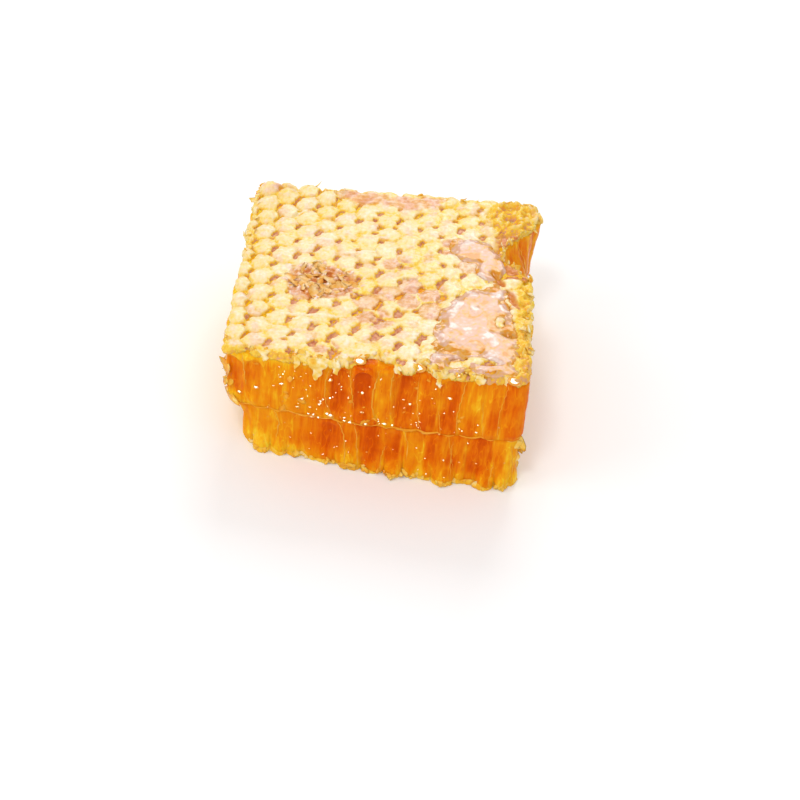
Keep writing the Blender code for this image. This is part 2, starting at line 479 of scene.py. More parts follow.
def sliceUprights(obj, rows):
    # cuts a cylinder across, by subdividing its upright edges
    bpy.context.tool_settings.mesh_select_mode = (False, True, False)
    bpy.ops.object.mode_set(mode="EDIT")
    bpy.ops.mesh.select_all(action="DESELECT")
    bpy.ops.object.mode_set(mode="OBJECT")
    heights = pointsOf(obj)[:, 2]
    for edge in obj.data.edges:
        a, b = edge.vertices
        edge.select = bool(abs(heights[a] - heights[b]) > 0.5)
    bpy.ops.object.mode_set(mode="EDIT")
    bpy.ops.mesh.subdivide(number_cuts=rows - 1)
    bpy.ops.object.mode_set(mode="OBJECT")


def ringBlock(name, columns, rows):
    # a closed block of even rings
    deselectAll()
    bpy.ops.mesh.primitive_cylinder_add(vertices=columns, radius=1, depth=rows, end_fill_type="NGON")
    block = bpy.context.object
    block.name = name
    block.data.name = name
    sliceUprights(block, rows)
    places = pointsOf(block)
    turn = np.arctan2(places[:, 1], places[:, 0]) / (2 * math.pi)
    ring = np.round(turn * columns).astype(int) % columns
    level = np.round(places[:, 2] + rows / 2).astype(int)
    return block, ring, level


def finishPiece(obj, look, slotName, node=None, **values):
    # paints the values that the material reads, smooths, and hands the piece to the frame
    for name, value in values.items():
        paint(obj, name, np.broadcast_to(value, len(obj.data.vertices)))
    obj.data.polygons.foreach_set("use_smooth", [True] * len(obj.data.polygons))
    obj.data.materials.clear()
    obj.data.materials.append(look)
    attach(obj, "root")
    if node:
        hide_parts(node)
    print(obj.name, "done:", len(obj.data.polygons), "faces")


# the two layers of cells, cut open at the sides; levels run from 0, the base, to 1, the top
upperLayer = {
    "rows": 54,
    "seed": 2,
    "shift": comb["upper"],
    "levels": (0.45, 0.95),
    "cutLevel": 0.7,
    "bulge": {"front": 0.40, "right": 0.6, "back": 0.5, "left": 0.95},  # mm
    "uneven": {"front": 0.38, "right": 0.5, "back": 0.4, "left": 0.35},
    "openDepth": 1.0,
    "toneSpread": 0.15,
    "topRound": 1.0,
}
lowerLayer = {
    "rows": 42,
    "seed": 5,
    "shift": comb["lower"],
    "levels": (0.04, 0.42),
    "cutLevel": 0.2,
    "bulge": {"front": 0.30, "right": 0.5, "back": 0.4, "left": 0.7},
    "uneven": {"front": 0.25, "right": 0.4, "back": 0.3, "left": 0.3},
    "openDepth": 0.4,
    "toneSpread": 0.09,
    "topRound": 0.5,
}
innerSteps = (8.0, 4.0, 2.0, 0.9)  # mm in from the side, under the cappings
# walls that shine through: how deep in, how wide, how strong
innerWalls = ((1.2, 0.20, 0.20), (2.4, 0.26, 0.16), (3.6, 0.34, 0.12), (5.2, 0.5, 0.08))
foot = {"seed": 8, "width": (3.2, 8.2), "stand": (0.5, 2.3), "notch": 0.5}  # lobes of the lower edge, mm


def lobesAlong(settings):
    # rounded lobes of uneven width along the outline, with sharp notches between them, in mm
    chance = random.Random(settings["seed"])
    stops, stands = [0.0], []
    while stops[-1] < outlineLength / mm - 1.4 * settings["width"][1]:
        stops.append(stops[-1] + chance.uniform(*settings["width"]))
        stands.append(chance.uniform(*settings["stand"]))
    stops.append(outlineLength / mm)
    stands.append(settings["stand"][0])
    along = np.arange(ringCount) * outlineLength / ringCount / mm
    k = np.clip(np.searchsorted(stops, along, side="right") - 1, 0, len(stands) - 1)
    stops, stands = np.array(stops), np.array(stands)
    share = (along - stops[k]) / (stops[k + 1] - stops[k])
    return stands[k] * arc(share) ** 0.5 - settings["notch"]


def sideBlend(ring, values):
    # one value from those of the four sides, in the order of the names
    weights = [facing[side][ring] + 0.001 for side in ("front", "right", "back", "left")]
    total = sum(weights)
    return sum(w * value for w, value in zip(weights, values)) / total


footLobes = lobesAlong(foot)
# how clearly the cells show at the cut
flutes = np.clip(1 - facing["front"] * 0.8 * smooth(-2, -16, outline[:, 0] / mm), 0, 1)


def upperOpen(x, y, dice):
    # how far a cut cell is emptied: wide open under the torn middle of the front
    if y < -20 * mm and -8 * mm < x < 12 * mm:
        return 1.0 if dice < 0.75 else 0.5
    return 0.8 if dice < 0.22 else 0.0


def lowerOpen(x, y, dice):
    return 0.5 if dice < 0.2 else 0.0


def upperTone(places, v, ring):
    # from 0, thin and golden, to 1, deep and red
    x = places[:, 0] / mm
    front = 0.46 + 0.27 * smooth(-20, -5, x) + 0.07 * smooth(4, 12, x)
    front -= 0.08 * smooth(16, 24, x)
    front = front - 0.30 * smooth(0.80, 1.0, v) * smooth(-6, -14, x) - 0.16 * smooth(30, 33, x)
    front -= 0.22 * smooth(0.35, 0.0, v) * smooth(-20, -30, x)
    paler = 0.2 * smooth(0.85, 1.0, v)
    return sideBlend(ring, (front, 0.58 - paler, 0.50 - paler, 0.40 - paler))


def lowerTone(places, v, ring):
    x = places[:, 0] / mm
    front = 0.37 + 0.46 * smooth(-26, -4, x)
    # the front is painted lighter and more golden towards the foot: a painted glow of light shining through
    # the honey
    front = front - (0.34 - 0.06 * smooth(-10, 10, x)) * smooth(0.48, 0.0, v) - 0.26 * smooth(25, 31, x)
    # the other sides are painted lighter towards the foot too: the same painted glow
    paler = smooth(0.4, 0.0, v)
    return sideBlend(ring, (front, 0.50 - 0.3 * paler, 0.46 - 0.3 * paler, 0.34 - 0.2 * paler))


upperLayer["openAt"], upperLayer["toneAt"] = upperOpen, upperTone
lowerLayer["openAt"], lowerLayer["toneAt"] = lowerOpen, lowerTone


def midribAt(x):
    return topAt(x) * piece["midribShare"]


def upperTop(x):
    return topAt(x) - 1.6 * mm


def lowerBottom(x):
    return 0 * x + 0.7 * mm


def combLayer(name, layer, bottom, top):
    # bottom and top are heights as functions of x; v runs from 0 at the bottom to 1 at the top
    strip, across, facts = stripsOf(layer["shift"], layer["cutLevel"])
    chance = random.Random(layer["seed"])
    uneven = np.zeros(ringCount)
    opened = np.zeros(ringCount)
    toneShift = np.zeros(ringCount)
    for k, fact in enumerate(facts):
        members = strip == k
        walled = float(smooth(1.1, 0.4, fact["depth"] / mm))
        dice = chance.uniform(-1, 1)
        uneven[members] = dice * (0.4 if fact["length"] < 1.5 * mm else 1.0)
        toneShift[members] = chance.uniform(-1, 1) * layer["toneSpread"] - 0.14 * walled
        middle = outline[int(fact["start"] + 0.5 * fact["length"] / outlineLength * ringCount) % ringCount]
        opened[members] = layer["openAt"](middle[0], middle[1], chance.random()) * (1 - 0.7 * walled)
    bulge = sum(facing[side] * layer["bulge"][side] for side in facing)
    unevenBy = sum(facing[side] * layer["uneven"][side] for side in facing)
    lobes = bulge * arc(across) ** 0.55 + unevenBy * uneven * arc(across) ** 0.3
    lobes = lobes * (0.35 + 0.65 * flutes) * mm

    inner = len(innerSteps)
    rows = layer["rows"] + 2 * inner
    block, ring, level = ringBlock(name, ringCount, rows)
    v = np.clip((level - inner) / layer["rows"], 0, 1)
    inward = np.zeros(len(level))
    for k, step in enumerate(innerSteps):
        inward[level == k] = step * mm
        inward[level == rows - k] = step * mm
    share = layer["levels"][0] + (layer["levels"][1] - layer["levels"][0]) * v
    places = np.zeros((len(level), 3))
    for k in range(rows + 1):
        here = np.flatnonzero(level == k)
        points = outlineAt(float(share[here[0]]))
        places[here, :2] = points[ring[here]]
    arch = 0.95 - 0.16 * (2 * across[ring] - 1) ** 2
    inOpening = smooth(0.02, 0.30, v) * smooth(arch, arch - 0.08, v) * (1 - (2 * across[ring] - 1) ** 4)
    roundTop = layer["topRound"] * mm
    fromTop = (top(places[:, 0]) - bottom(places[:, 0])) * (1 - v)
    curl = roundTop - np.sqrt(np.clip(roundTop**2 - np.clip(roundTop - fromTop, 0, None) ** 2, 0, None))
    offset = lobes[ring] * (0.55 + 0.45 * smooth(0, 0.1, v) * smooth(1.0, 0.92, v))
    offset -= layer["openDepth"] * mm * opened[ring] * inOpening
    offset -= curl
    wide = np.concatenate([places[:, :2], (v * 15 * mm)[:, None] * 0.45], axis=1)
    rough = 0.17 * ripple(wide, 1.9 * mm, layer["seed"]) + 0.10 * ripple(wide, 0.8 * mm, layer["seed"] + 3)
    offset += rough * mm
    if layer is lowerLayer:
        offset += footLobes[ring] * (0.5 + 0.5 * facing["front"][ring]) * smooth(0.42, 0.0, v) * mm
    offset = np.where(inward > 0, offset * 0.8, offset)
    places[:, :2] += outward[ring] * offset[:, None]
    places[:, :2] *= (1 - inward / (31 * mm))[:, None]
    places[:, 2] = bottom(places[:, 0]) + (top(places[:, 0]) - bottom(places[:, 0])) * v
    movePoints(block, places)

    # walls deeper in shine through the honey as lighter upright bands
    clear = flutes[ring]
    tone = layer["toneAt"](places, v, ring) + toneShift[ring] * (0.25 + 0.75 * clear)
    # emptied cells are painted deeper red inside: painted shade in their hollows, partly the deeper honey's
    # own colour
    tone = tone + 0.20 * opened[ring] * inOpening
    lean = 0.13 * (places[:, 2] - midribAt(places[:, 0])) * smooth(0, 15, places[:, 0] / mm)
    for depth, width, strength in innerWalls:
        inside = places[:, :2] - outward[ring] * depth * mm
        wall = cellAt(inside[:, 0] - lean, inside[:, 1], layer["shift"])[-1]
        tone -= strength * np.exp(-((wall / mm / width) ** 2)) * (0.2 + 0.8 * clear)
    edgeNear = np.minimum(across[ring], 1 - across[ring])
    tone -= 0.16 * smooth(0.08, 0.0, edgeNear) * clear - 0.04
    blotches = ripple(wide, 4.5 * mm, layer["seed"] + 6)
    paleSpots = smooth(0.25, 0.6, ripple(wide, 2.6 * mm, layer["seed"] + 9))
    tone += -0.30 * rough - 0.14 * blotches - 0.16 * paleSpots
    tone = np.where(tone < 0.25, 0.25 + 0.45 * (tone - 0.25), tone)
    grid = np.zeros((layer["rows"] + 1, ringCount, 3))
    upright = (level >= inner) & (level <= rows - inner)
    grid[level[upright] - inner, ring[upright]] = places[upright]
    return block, grid, facts, tone


upperComb, upperGrid, upperFacts, upperTones = combLayer("upperCombHoney", upperLayer, midribAt, upperTop)
lowerComb, lowerGrid, lowerFacts, lowerTones = combLayer("lowerCombHoney", lowerLayer, lowerBottom, midribAt)
finishPiece(upperComb, honeyUpper, "honey_upper_cells", "comb_upper", tone=upperTones)
finishPiece(lowerComb, honeyLower, "honey_lower_cells", "comb_lower", tone=lowerTones)


# the upper capping: a sheet of wax over the cells, domed, creased and torn at its edges
capping = {
    "low": (-36, -36),  # mm, the box that its grid is cut from
    "high": (36, 36),
    "spacing": 0.215,
    "skirt": ((0.5, -0.05), (0.7, 0.25), (0.7, 1.2)),  # steps down and in at the edge
    "lift": 0.30,  # mm from a seam to a dome's shoulder
    "pitDepth": 0.60,
    "lobe": 0.75,  # how far a cell bulges out of the edge
    "ragged": 0.55,
    # torn out of the front: middle, half width, depth
    "bites": ((0.6, 6.8, 3.1), (10.3, 2.1, 1.9), (-27.1, 4.8, 1.1)),
    "crushed": (-14.4, -2.9, 8.8, 6.6),  # middle and half sizes
    "flap": ((-7.5, 29.4, 6.0, 3.2), (2.5, 28.2, 8.0, 2.6), (8.0, 31.6, 4.0, 3.0)),
    "openCells": (26.5, 25.5, 7.0, 7.5),
    "tanPatches": (
        (-1.5, -13.5, 5.5, 5.0),
        (6.0, -4.0, 6.5, 6.0),
        (2.0, 5.0, 5.0, 3.0),
        (12.5, 14.0, 5.0, 4.0),
        (-12.0, -25.5, 4.0, 3.0),
    ),
    "film": (
        (19.8, -13.0, 7.6, 13.5, -12),
        (25.5, -19.0, 4.4, 11.0, 4),
        (15.5, -27.0, 4.5, 4.0, 0),
        (24.5, -27.5, 5.5, 4.5, 0),
        (18.6, 11.8, 6.4, 4.2, -28),
        (22.5, 6.6, 3.4, 4.6, 0),
    ),  # middle, half sizes, turn in degrees
    # from x, y to x, y
    "cracks": ((22.6, 5.4, 26.2, 0.2), (26.2, 0.2, 29.6, -7.5), (25.6, -15.6, 29.8, -16.6)),
    # wax drawn out by the knife
    "smears": ((-12.3, 7.3, -1.9, 9.8), (-25.3, -15.1, -6.4, -14.2), (-29.1, 16.7, -19.9, 23.6)),
    "cornerDome": (-28.6, 29.6, 5.0, 3.6),
    "filmHoles": ((17.6, -26.4, 2.4, 1.5, 30), (22.2, -25.2, 3.4, 1.0, -4), (25.6, -12.0, 1.1, 1.6, 0)),
}


def blobAt(x, y, middleX, middleY, halfX, halfY, turn=0.0):
    # 1 in the middle of an oval, 0 on its edge, below 0 outside; sizes in mm
    c, s = math.cos(math.radians(turn)), math.sin(math.radians(turn))
    dx, dy = x / mm - middleX, y / mm - middleY
    return 1 - np.hypot((dx * c + dy * s) / halfX, (dy * c - dx * s) / halfY)


def blobsAt(x, y, ovals):
    return np.max([blobAt(x, y, *oval) for oval in ovals], axis=0)


def flatPoints(x, y, z=0.0):
    return np.stack([x, y, z + 0 * x], axis=1)


def lineGap(x, y, lines):
    # distance to the nearest of some straight lines, in mm; their ends taper
    nearest = np.full(np.shape(x), 99.0)
    for startX, startY, endX, endY in lines:
        along = np.array([endX - startX, endY - startY])
        reach = ((x / mm - startX) * along[0] + (y / mm - startY) * along[1]) / (along @ along)
        reach = np.clip(reach, 0, 1)
        gap = np.hypot(x / mm - startX - along[0] * reach, y / mm - startY - along[1] * reach)
        nearest = np.minimum(nearest, gap + 0.8 * np.abs(2 * reach - 1) ** 3)
    return nearest


def crackAt(x, y):
    return lineGap(x, y, capping["cracks"]) + 0.48 * ripple(flatPoints(x, y), 2.2 * mm, 54)


def filmAt(x, y):
    # above 0 where runny honey lies on the wax
    flat = flatPoints(x, y)
    wavy = 0.34 * ripple(flat, 4.2 * mm, 51) + 0.16 * ripple(flat, 1.7 * mm, 52)
    wavy = wavy + 0.07 * ripple(flat, 0.8 * mm, 53)
    covered = blobsAt(x, y, capping["film"]) * 1.6 + wavy
    holes = -blobsAt(x, y, capping["filmHoles"]) * 0.9 + 0.02 + 0.25 * wavy
    return np.minimum(covered, np.minimum(holes, crackAt(x, y) * 0.4 - 0.1))


def tornEdge():
    # the outline of the capping, with cell lobes, bites and ragged tears
    edge = outlineAt(0.97)
    bite = sum(depth * bump((edge[:, 0] / mm - middle) / half) for middle, half, depth in capping["bites"])
    _, across, _ = stripsOf(comb["upper"], 0.97)
    lobe = arc(across) ** 0.6 * capping["lobe"]
    places = flatPoints(edge[:, 0], edge[:, 1])
    tears = ripple(places, 2.4 * mm, 4) + 0.7 * ripple(places, 1.0 * mm, 6)
    tears = tears + 0.4 * ripple(places, 0.5 * mm, 7)
    ragged = capping["ragged"] * tears * (1.0 + 0.5 * facing["front"])
    return edge + outward * ((lobe - bite * facing["front"] + ragged) * mm)[:, None]


capEdge = tornEdge()
capEdgeTurn = np.arctan2(capEdge[:, 1], capEdge[:, 0])
capEdgeOrder = np.argsort(capEdgeTurn)
capEdgeReach = np.hypot(capEdge[:, 0], capEdge[:, 1])[capEdgeOrder]
capEdgeTurn = capEdgeTurn[capEdgeOrder]
capEdgeFace = np.sum(outward * capEdge, axis=1)[capEdgeOrder] / capEdgeReach


def edgeReachAt(x, y):
    # distance from the middle to the torn edge in the direction of each place
    return np.interp(np.arctan2(y, x), capEdgeTurn, capEdgeReach, period=2 * math.pi)


def edgeDistanceAt(x, y):
    face = np.interp(np.arctan2(y, x), capEdgeTurn, capEdgeFace, period=2 * math.pi)
    return (edgeReachAt(x, y) - np.hypot(x, y)) * face


def cappingRelief(x, y, calm=False):
    # heights over the slope of the dome tops, in mm, with the values that the wax reads
    flat = flatPoints(x, y)
    warpX = x + (0.62 * ripple(flat, 4.5 * mm, 41) + 0.22 * ripple(flat, 2.0 * mm, 40)) * mm
    warpY = y + (0.62 * ripple(flat, 4.5 * mm, 42) + 0.22 * ripple(flat, 2.0 * mm, 39)) * mm
    column, row, localU, localV, wall = cellAt(warpX, warpY, comb["upper"])
    wall, localU, localV = wall / mm, localU / mm, localV / mm
    dice = cellChance(column, row, 1)
    tiltU, tiltV = cellChance(column, row, 2) - 0.5, cellChance(column, row, 3) - 0.5
    broad = ripple(flat, 7.0 * mm, 43)
    folds = ripple(flat * np.array([1.0, 1.6, 1.0]), 1.6 * mm, 44)
    roughness = 0.0 if calm else 1.0
    fine = ripple(flat, 0.7 * mm, 45) * roughness
    grainy = ripple(flat, 0.33 * mm, 46) * roughness
    xmm, ymm = x / mm, y / mm

    # a slit is left open along one wall of most cells, wider towards the front
    half = comb["pitch"] / 2 / mm
    outU = localU * math.cos(-math.pi / 6) + localV * math.sin(-math.pi / 6)
    alongWall = localU * math.sin(math.pi / 6) + localV * math.cos(math.pi / 6)
    owner = np.where(outU > 0, 0, 1)
    slitDice = cellChance(column - owner, row + owner, 5)
    shiftDice = cellChance(column - owner, row + owner, 6)
    fromWall = np.where(outU > 0, outU - half, outU + half)
    frontward = smooth(8, -16, ymm) * smooth(-26, -8, xmm)
    slitLong = 0.75 + 0.70 * slitDice + (0.35 + 0.85 * slitDice) * frontward
    slitWide = 0.56 + 0.26 * shiftDice + (0.18 + 0.34 * shiftDice) * frontward
    oval = np.hypot((alongWall - 0.7 - 0.8 * (shiftDice - 0.5)) / slitLong, fromWall / slitWide)
    oval = oval + 0.30 * folds + 0.26 * fine + 0.14 * grainy
    slit = smooth(1.15, 0.80, oval) * smooth(0.08, 0.14, slitDice)
    junction, junctionDice = junctionAt(column, row, localU * mm, localV * mm)
    speck = smooth(0.75, 0.40, junction / mm + 0.25 * fine) * smooth(0.62, 0.68, junctionDice)
    slit = np.maximum(slit, speck)

    sunken = smooth(0.08, 0.04, dice)
    tan = smooth(0.05, 0.30, blobsAt(x, y, capping["tanPatches"]) + 0.9 * (dice - 0.62))
    tan = tan * smooth(0.25, 0.6, wall + 0.2 * fine)
    crushed = smooth(0.0, 0.22, blobAt(x, y, *capping["crushed"]) + 0.30 * folds + 0.12 * fine)
    flap = smooth(-0.05, 0.30, blobsAt(x, y, capping["flap"]) + 0.14 * folds)
    opened = smooth(0.0, 0.35, blobAt(x, y, *capping["openCells"]) + 0.3 * folds)
    filmed = smooth(-0.1, 0.3, filmAt(x, y))
    domed = 1 + 1.3 * smooth(10, 26, ymm) * smooth(-2, -20, xmm) + 0.9 * smooth(-22, -30, xmm)

    # where domes have melted together
    fused = smooth(-0.45, 0.15, ripple(flat, 3.4 * mm, 47)) * smooth(1.7, 1.1, domed)
    shoulder = np.maximum(smooth(0.0, 0.7, wall + 0.20 * fine), 0.85 * fused)
    lift = capping["lift"] * (0.3 + cellChance(column, row, 4)) * domed
    height = -0.80 + lift * (shoulder - 1) + 0.28 * domed * smooth(0.3, 2.6, wall)
    height += (tiltU * localU + tiltV * localV) * 0.14 + 0.20 * broad
    pitDepth = capping["pitDepth"]
    height -= pitDepth * slit * (0.2 if calm else 1.0) + 0.30 * sunken * shoulder + 0.20 * tan * (1 - slit)
    height += 0.14 * folds + 0.08 * fine + 0.045 * grainy
    for share, goal in (
        (crushed, -1.00 + 0.55 * folds + 0.30 * fine + 0.10 * grainy),
        (flap, -0.70 + 0.25 * broad + 0.22 * folds + 0.03 * fine),
        (opened, -0.30 - 1.10 * smooth(0.35, 1.8, wall) + 1.15 * folds + 0.38 * fine),
    ):
        height += share * (goal - height)
    height -= 0.15 * filmed
    corner = smooth(0.0, 0.7, blobAt(x, y, *capping["cornerDome"]) + 0.1 * folds)
    height += 0.95 * corner
    smear = smooth(0.75, 0.25, lineGap(x, y, capping["smears"]) + 0.25 * folds)
    height += 0.16 * smear + 0.5 * smear * slit
    ridge = smooth(28.0, 29.6, xmm) * smooth(5.0, 2.0, ymm)
    height += ridge * (0.15 + 0.50 * folds + 0.22 * fine)
    crack = smooth(1.0, 0.35, crackAt(x, y))
    height -= 0.60 * crack
    # thin wax by the torn bay
    gloom = smooth(22.0, 25.5, xmm + 0.9 * folds) * smooth(2.5, 4.5, ymm) * smooth(21.0, 18.5, ymm)
    height -= 0.7 * gloom

    crown = 0.56 + 0.16 * shoulder + 0.08 * smooth(0.8, 2.4, wall) + 0.18 * (dice - 0.5)
    crown += 0.17 * folds + 0.12 * broad + 0.16 * fine + 0.12 * grainy
    seam = bump(ripple(flat, 2.6 * mm, 49) / 0.10) * smooth(0.9, 0.3, oval - 1.0)
    crown -= 0.20 * smooth(-0.1, 0.4, folds) * smooth(0.8, 0.15, wall) + 0.16 * seam
    for share, goal in (
        (slit, 0.09 + 0.15 * folds + 0.12 * fine),
        (tan, 0.54 + 0.25 * folds + 0.28 * fine + 0.18 * grainy),
        # the crushed patch is painted darker orange-brown where its folds lie low: painted shade between the
        # loose flakes, over the wax's own tan
        (crushed, 0.34 + 0.85 * folds + 0.50 * fine),
        (flap, 0.48 + 0.20 * broad + 0.45 * folds + 0.15 * fine),
        # the open cells are painted darker orange away from their walls, deep in the hollows: painted shade,
        # partly the honey's own colour
        (opened, 0.32 + 0.20 * smooth(0.6, 0.0, wall) + 0.42 * folds + 0.15 * fine),
        (smear, 0.90 + 0.1 * folds),
        (corner * 0.5, 0.52 + 0.3 * folds),
        (ridge, 0.40 + 0.22 * folds),
        (gloom, 0.12 + 0.2 * folds),
        (crack, 0.08 + 0.2 * folds),
    ):
        crown += share * (goal - crown)
    stain = crushed * 0.9 + flap * 0.75 + 0.7 * sunken + 0.85 * tan + 0.6 * filmed + 0.85 * gloom + crack
    blotted = ripple(flat, 3.2 * mm, 48) + 0.3 * folds + 0.5 * (cellChance(column, row, 7) - 0.5)
    stain += 0.55 * smooth(0.10, 0.55, blotted) * (1 - slit)
    stain += 0.6 * corner * smooth(-0.2, 0.3, folds)
    stain = np.clip(stain, 0, 1) * (1 - opened) * (1 - 0.8 * ridge) * (1 - 0.7 * smear)
    wet = 0.25 + 0.5 * smooth(2, 12, xmm) + 0.6 * filmed + 0.35 * flap + 0.3 * crushed + opened + gloom
    return height, crown, stain, np.clip(wet, 0, 1)


def gridPatch(name, settings, keepAt):
    # a fine grid over a box, without the faces whose middle keepAt refuses; returns it with its rim's points
    low, high = ([value * mm for value in settings[corner]] for corner in ("low", "high"))
    countX, countY = (int((high[k] - low[k]) / (settings["spacing"] * mm)) for k in (0, 1))
    deselectAll()
    bpy.ops.mesh.primitive_grid_add(x_subdivisions=countX, y_subdivisions=countY, size=1)
    patch = bpy.context.object
    patch.name = name
    patch.data.name = name
    places = pointsOf(patch)
    places[:, 0] = low[0] + (places[:, 0] + 0.5) * (high[0] - low[0])
    places[:, 1] = low[1] + (places[:, 1] + 0.5) * (high[1] - low[1])
    movePoints(patch, places)
    faces = np.empty(len(patch.data.polygons) * 4, int)
    patch.data.polygons.foreach_get("vertices", faces)
    faces = faces.reshape(-1, 4)
    middles = places[faces].mean(axis=1)
    column, row = (
        np.clip(((middles[:, k] - low[k]) / (high[k] - low[k]) * count).astype(int), 0, count - 1)
        for k, count in ((0, countX), (1, countY))
    )
    kept = np.zeros((countX + 2, countY + 2), bool)
    kept[column + 1, row + 1] = keepAt(middles[:, 0], middles[:, 1])
    for _ in range(4):  # no thin spikes or faces that touch at one point
        beside = sum(np.roll(kept, step, axis=axis).astype(int) for step in (1, -1) for axis in (0, 1))
        kept &= beside >= 3
        for step in (-1, 1):
            ahead, aside = np.roll(kept, -1, 0), np.roll(kept, step, 1)
            kept &= ~(kept & np.roll(ahead, step, 1) & ~ahead & ~aside)
    bpy.context.tool_settings.mesh_select_mode = (False, False, True)
    bpy.ops.object.mode_set(mode="EDIT")
    bpy.ops.mesh.select_all(action="DESELECT")
    bpy.ops.object.mode_set(mode="OBJECT")
    patch.data.polygons.foreach_set("select", ~kept[column + 1, row + 1])
    bpy.ops.object.mode_set(mode="EDIT")
    bpy.ops.mesh.delete(type="FACE")
    bpy.ops.mesh.delete_loose()
    bpy.context.tool_settings.mesh_select_mode = (False, True, False)
    bpy.ops.mesh.select_all(action="DESELECT")
    bpy.ops.mesh.select_non_manifold(
        extend=False,
        use_wire=False,
        use_boundary=True,
        use_multi_face=False,
        use_non_contiguous=False,
        use_verts=False,
    )
    bpy.ops.object.mode_set(mode="OBJECT")
    rim = np.zeros(len(patch.data.vertices), bool)
    patch.data.vertices.foreach_get("select", rim)
    return patch, rim


def closeBelow(patch, drops, floorAt):
    # extrudes the patch's rim down by the drops, each depth and step inwards in mm, and closes it underneath
    makeActive(patch)
    bpy.ops.object.mode_set(mode="EDIT")
    for depth, inset in drops:
        bpy.ops.mesh.extrude_edges_move(TRANSFORM_OT_translate={"value": (0, 0, -depth * mm)})
        bpy.ops.object.mode_set(mode="OBJECT")
        chosen = np.zeros(len(patch.data.vertices), bool)
        patch.data.vertices.foreach_get("select", chosen)
        places = pointsOf(patch)
        places[chosen, :2] *= 1 - inset * mm / (32 * mm)
        places[chosen, 2] = np.maximum(places[chosen, 2], floorAt(places[chosen, 0]))
        movePoints(patch, places)
        bpy.ops.object.mode_set(mode="EDIT")
    bpy.ops.mesh.fill(use_beauty=False)
    faceOutwards()


def frontGold(x, y):
    # the torn edge is golden with honey at both ends of the front
    return smooth(-20 * mm, -27 * mm, y) * (smooth(-14 * mm, -19 * mm, x) + smooth(16 * mm, 20 * mm, x))


def insideEdge(x, y):
    return edgeDistanceAt(x, y) > 0


def modelCapping():
    sheet, rim = gridPatch("cappingWax", capping, insideEdge)
    places = pointsOf(sheet)
    x, y = places[:, 0].copy(), places[:, 1].copy()
    stretch = np.where(rim, edgeReachAt(x, y) / np.hypot(x, y), 1.0)
    stretch = np.clip(stretch, 0.985, 1.015)
    x, y = x * stretch, y * stretch
    height, crown, stain, wet = cappingRelief(x, y)
    near = np.clip(edgeDistanceAt(x, y) / mm, 0, None)
    height = height - 0.55 * smooth(0.7, 0.0, near) ** 2
    atEdge = smooth(1.5, 0.2, near)
    goldenEdge = frontGold(x, y) * smooth(2.6, 0.4, near + 0.8 * ripple(flatPoints(x, y), 1.6 * mm, 63))
    crown = crown + atEdge * (0.55 - crown) * 0.7 + atEdge * 0.12 * ripple(flatPoints(x, y), 0.8 * mm, 61)
    crown = crown - 0.24 * goldenEdge
    stain = stain * smooth(0.3, 1.6, near)
    movePoints(sheet, np.stack([x, y, topAt(x) + height * mm], axis=1))
    count = len(x)
    closeBelow(sheet, capping["skirt"], lambda where: topAt(where) - 2.6 * mm)
    below = len(sheet.data.vertices) - count
    sides = pointsOf(sheet)[count:]
    sideCrown = 0.50 + 0.2 * ripple(sides, 0.9 * mm, 62) - 0.16 * frontGold(sides[:, 0], sides[:, 1])
    crown = np.concatenate((crown, sideCrown))
    stain = np.concatenate((stain, np.zeros(below)))
    return sheet, crown, stain, np.concatenate((wet, np.full(below, 0.7)))


capSheet, crown, stain, wet = modelCapping()
finishPiece(capSheet, cappingWaxLook, "wax_capping", "capping_top", crown=crown, stain=stain, wet=wet)


# runny honey that lies between and over the domes; its pale pinkish colour is partly a painted reflection of
# the back softbox
filmSheet = {"low": (8, -35), "high": (32, 18), "spacing": 0.24, "skirt": ((0.5, 0.0),)}  # mm


def underFilm(x, y):
    return (filmAt(x, y) > -0.12) & (edgeDistanceAt(x, y) > 0.25 * mm)


def modelFilm():
    film, _ = gridPatch("honeyFilm", filmSheet, underFilm)
    places = pointsOf(film)
    x, y = places[:, 0], places[:, 1]
    flat = flatPoints(x, y)
    covered = np.minimum(filmAt(x, y), edgeDistanceAt(x, y) / mm * 0.25)
    swell = ripple(flat, 4.5 * mm, 71)
    under = cappingRelief(x, y, calm=True)[0]
    curl = ripple(flat, 2.3 * mm, 72)
    level = -0.50 + 0.28 * swell + 0.12 * curl + 0.02 * ripple(flat, 0.8 * mm, 73)
    thickness = smooth(0.0, 0.55, covered)
    pooled = 0.5 * np.maximum(level, under + 0.10) + 0.5 * (0.75 * level + 0.25 * under + 0.10)
    height = under + 0.05 + thickness * (pooled - under - 0.05) - 0.5 * smooth(0.04, -0.12, covered)
    bent = swell + 0.35 * curl
    veins = np.exp(-(((bent - 0.10) / 0.05) ** 2)) + np.exp(-(((bent + 0.25) / 0.045) ** 2))
    movePoints(film, np.stack([x, y, topAt(x) + height * mm], axis=1))
    count = len(x)
    closeBelow(film, filmSheet["skirt"], lambda where: topAt(where) - 2.2 * mm)
    tone = np.zeros(len(film.data.vertices))
    # the tone rises with the film's swell and curl, so its raised parts are painted paler: a painted sheen
    # over the honey's own tone and veins
    tone[:count] = 0.60 + 0.62 * swell + 0.58 * curl + 0.34 * ripple(flat, 0.8 * mm, 74) - 0.34 * veins
    tone[:count] -= 0.45 * smooth(0.20, 0.02, covered) + 0.25 * (level - under - 0.15).clip(-0.5, 0.5)
    return film, tone


film, filmTone = modelFilm()
finishPiece(film, filmHoney, "wax_capping", tone=filmTone)


# thin walls of wax that stand a little out of the cut honey
walls = {"height": 0.13, "width": 0.12, "steps": 26}  # mm


def modelWall(steps):
    # one upright sliver, cut across into steps
    deselectAll()
    bpy.ops.mesh.primitive_cylinder_add(vertices=4, radius=1, depth=2)
    sliceUprights(bpy.context.object, steps)
    return bpy.context.object


